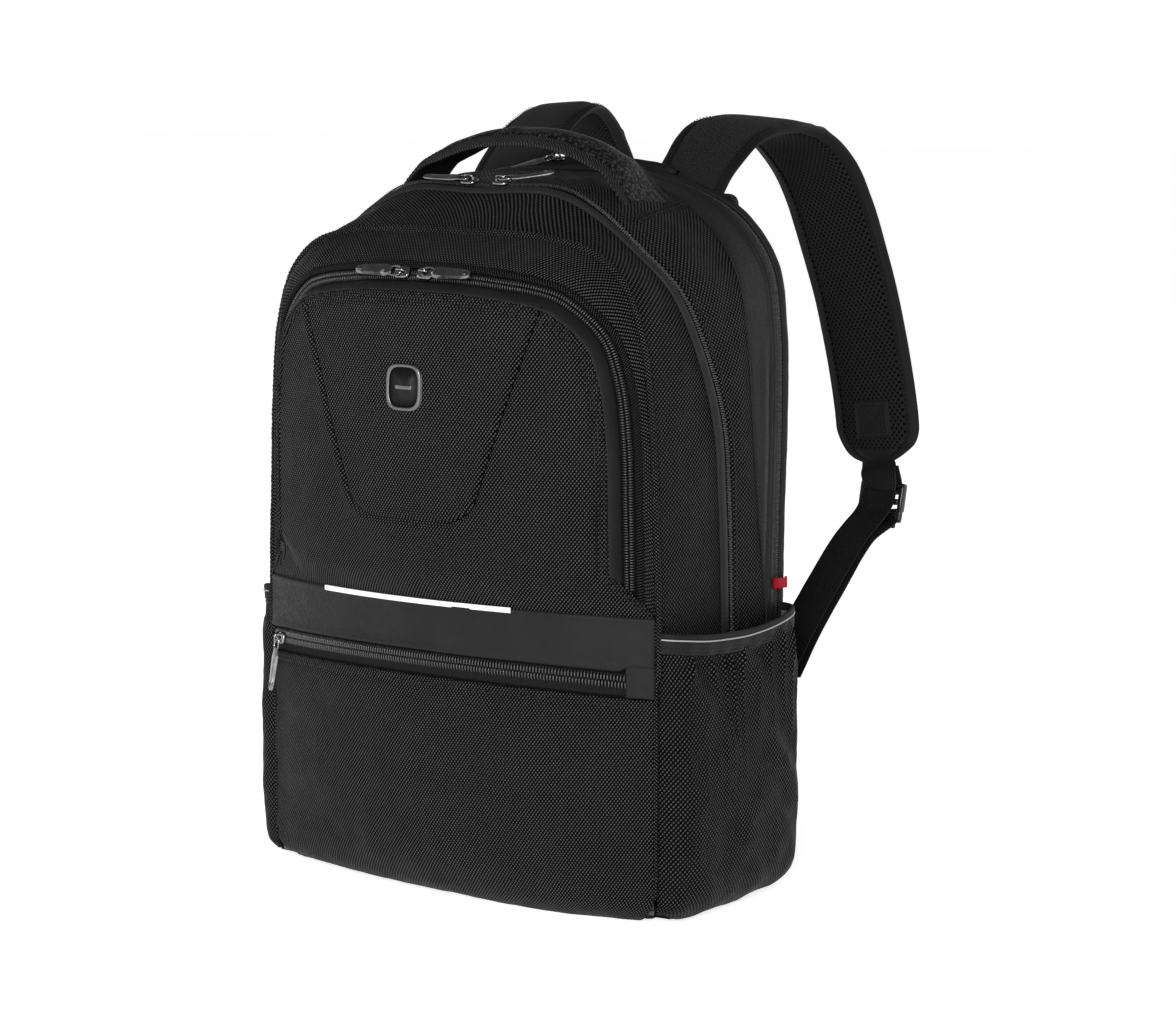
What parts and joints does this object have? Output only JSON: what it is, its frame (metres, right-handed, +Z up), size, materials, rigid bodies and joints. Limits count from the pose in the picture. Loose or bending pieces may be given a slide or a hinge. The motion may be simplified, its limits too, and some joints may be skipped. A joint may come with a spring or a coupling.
{
  "type": "school backpack",
  "caption": "Black school backpack: padded body, zipped front section, front pocket door, lower pocket, side pockets, grab handle and curved shoulder straps with webbing.",
  "frame": {"origin": "centre of the flat bottom, on the floor, midway between the side seams", "axes": "+Z up, -Y out of the front of the pack, +Y towards the shoulder straps, +X to the right as seen from the front"},
  "size_m": [0.3398, 0.3765, 0.4801],
  "materials": {
    "ballistic_nylon": "coarse black ballistic weave, padded",
    "smooth_trim": "smooth coated dark grey fabric",
    "zip_coil": "black nylon coil on tape",
    "lining": "plain grey woven lining",
    "badge_metal": "satin dark metal",
    "reflective": "silver reflective tape",
    "air_mesh": "black spacer mesh",
    "webbing": "flat black woven webbing",
    "red_fabric": "folded red tape",
    "black_plastic": "moulded black plastic, satin gloss",
    "gunmetal": "dark polished metal"
  },
  "bodies": {
    "pack": {"base_panel": "ballistic_nylon", "lower_shell": "ballistic_nylon", "lower_pocket_panel": "ballistic_nylon", "lower_zip": "zip_coil", "zip_end_tab": "smooth_trim", "front_band": "smooth_trim", "reflective_strip": "reflective", "side_pocket_right": "ballistic_nylon", "side_pocket_left": "ballistic_nylon", "side_pocket_band_right": "smooth_trim", "side_pocket_band_left": "smooth_trim", "main_zip_rear": "zip_coil", "rear_gusset": "ballistic_nylon", "laptop_trim": "smooth_trim", "laptop_zip": "zip_coil", "back_binding": "smooth_trim", "back_panel": "ballistic_nylon", "back_pad_right": "air_mesh", "back_pad_left": "air_mesh", "lumbar_pad": "air_mesh", "padded_divider": "lining", "strap_yoke": "smooth_trim", "webbing_anchor_right": "webbing", "webbing_anchor_left": "webbing", "red_tab": "red_fabric", "handle_base_right": "smooth_trim", "handle_base_left": "smooth_trim"},
    "front_section": {"front_gusset": "ballistic_nylon", "main_zip_front": "zip_coil", "front_piping": "smooth_trim", "front_frame": "ballistic_nylon", "pocket_zip_frame": "zip_coil", "front_pocket_floor": "lining", "front_inner_panel": "lining", "organiser_pocket": "lining"},
    "front_pocket_door": {"pocket_zip_door": "zip_coil", "door_edge_strip": "smooth_trim", "pocket_door": "ballistic_nylon", "badge": "badge_metal"},
    "grab_handle": {"handle": "ballistic_nylon"},
    "strap_right": {"strap_pad_right": "ballistic_nylon", "ladder_lock_right": "black_plastic", "strap_webbing_right": "webbing"},
    "strap_left": {"strap_pad_left": "ballistic_nylon", "ladder_lock_left": "black_plastic", "strap_webbing_left": "webbing"},
    "main_left_slider": {"main_left_slider": "gunmetal"},
    "main_left_pull": {"main_left_pull": "gunmetal"},
    "main_right_slider": {"main_right_slider": "gunmetal"},
    "main_right_pull": {"main_right_pull": "gunmetal"},
    "pocket_left_slider": {"pocket_left_slider": "gunmetal"},
    "pocket_left_pull": {"pocket_left_pull": "gunmetal"},
    "pocket_right_slider": {"pocket_right_slider": "gunmetal"},
    "pocket_right_pull": {"pocket_right_pull": "gunmetal"},
    "laptop_left_slider": {"laptop_left_slider": "gunmetal"},
    "laptop_left_pull": {"laptop_left_pull": "gunmetal"},
    "laptop_right_slider": {"laptop_right_slider": "gunmetal"},
    "laptop_right_pull": {"laptop_right_pull": "gunmetal"},
    "lower_slider": {"lower_slider": "gunmetal"},
    "lower_pull": {"lower_pull": "gunmetal"}
  },
  "joints": [
    {"name": "main_open", "type": "hinge", "parent": "pack", "child": "front_section", "pos_m": [0, -0.1245, 0.188], "axis": [1, 0, 0], "range_deg": [0, 30]},
    {"name": "pocket_open", "type": "hinge", "parent": "front_section", "child": "front_pocket_door", "pos_m": [0, -0.1215, 0.2045], "axis": [1, 0, 0], "range_deg": [0, 45]},
    {"name": "handle_swing", "type": "hinge", "parent": "pack", "child": "grab_handle", "pos_m": [0, 0.0035, 0.433], "axis": [1, 0, 0], "range_deg": [-15, 25], "stiffness_Nm_per_rad": 0.12},
    {"name": "strap_right_swing", "type": "hinge", "parent": "pack", "child": "strap_right", "pos_m": [0.072, 0.078, 0.436], "axis": [-0.1791, -0.0061, 0.9838], "range_deg": [-40, 20]},
    {"name": "strap_left_swing", "type": "hinge", "parent": "pack", "child": "strap_left", "pos_m": [-0.072, 0.078, 0.436], "axis": [0.1791, -0.0061, 0.9838], "range_deg": [-20, 40]},
    {"name": "main_left_slide", "type": "slide", "parent": "front_section", "child": "main_left_slider", "axis": [1, 0, 0], "range_m": [-0.04, 0]},
    {"name": "main_left_pull_lift", "type": "hinge", "parent": "main_left_slider", "child": "main_left_pull", "pos_m": [-0.012, -0.04766, 0.44436], "axis": [0, 0.9404, 0.3401], "range_deg": [0, 150]},
    {"name": "main_right_slide", "type": "slide", "parent": "front_section", "child": "main_right_slider", "axis": [1, 0, 0], "range_m": [0, 0.04]},
    {"name": "main_right_pull_lift", "type": "hinge", "parent": "main_right_slider", "child": "main_right_pull", "pos_m": [0.012, -0.04766, 0.44436], "axis": [0.3746, -0.8719, -0.3154], "range_deg": [0, 150]},
    {"name": "pocket_left_slide", "type": "hinge", "parent": "front_pocket_door", "child": "pocket_left_slider", "pos_m": [0, 0.13627, 0.29648], "axis": [0, 0.3429, 0.9394], "range_deg": [-8.9, 0]},
    {"name": "pocket_left_pull_lift", "type": "hinge", "parent": "pocket_left_slider", "child": "pocket_left_pull", "pos_m": [-0.00862, -0.12161, 0.39139], "axis": [0.0058, 0.5101, 0.8601], "range_deg": [0, 150]},
    {"name": "pocket_right_slide", "type": "hinge", "parent": "front_pocket_door", "child": "pocket_right_slider", "pos_m": [0, 0.13627, 0.29648], "axis": [0, 0.3429, 0.9394], "range_deg": [0, 8.9]},
    {"name": "pocket_right_pull_lift", "type": "hinge", "parent": "pocket_right_slider", "child": "pocket_right_pull", "pos_m": [0.00862, -0.12161, 0.39139], "axis": [0.0058, -0.5101, -0.8601], "range_deg": [0, 150]},
    {"name": "laptop_left_slide", "type": "slide", "parent": "pack", "child": "laptop_left_slider", "axis": [1, 0, 0], "range_m": [-0.015, 0]},
    {"name": "laptop_left_pull_lift", "type": "hinge", "parent": "laptop_left_slider", "child": "laptop_left_pull", "pos_m": [-0.019, 0.056, 0.4544], "axis": [-0.5736, 0.8192, 0], "range_deg": [0, 150]},
    {"name": "laptop_right_slide", "type": "slide", "parent": "pack", "child": "laptop_right_slider", "axis": [1, 0, 0], "range_m": [0, 0.03]},
    {"name": "laptop_right_pull_lift", "type": "hinge", "parent": "laptop_right_slider", "child": "laptop_right_pull", "pos_m": [0.004, 0.056, 0.4544], "axis": [-0.342, -0.9397, 0], "range_deg": [0, 150]},
    {"name": "lower_slide", "type": "hinge", "parent": "pack", "child": "lower_slider", "pos_m": [0, 0.17946, 0.10671], "axis": [0, 0.1553, 0.9879], "range_deg": [0, 50.5]},
    {"name": "lower_pull_lift", "type": "hinge", "parent": "lower_slider", "child": "lower_pull", "pos_m": [-0.13578, -0.08919, 0.14915], "axis": [-0.8947, 0.4412, -0.0694], "range_deg": [0, 120]}
  ]
}
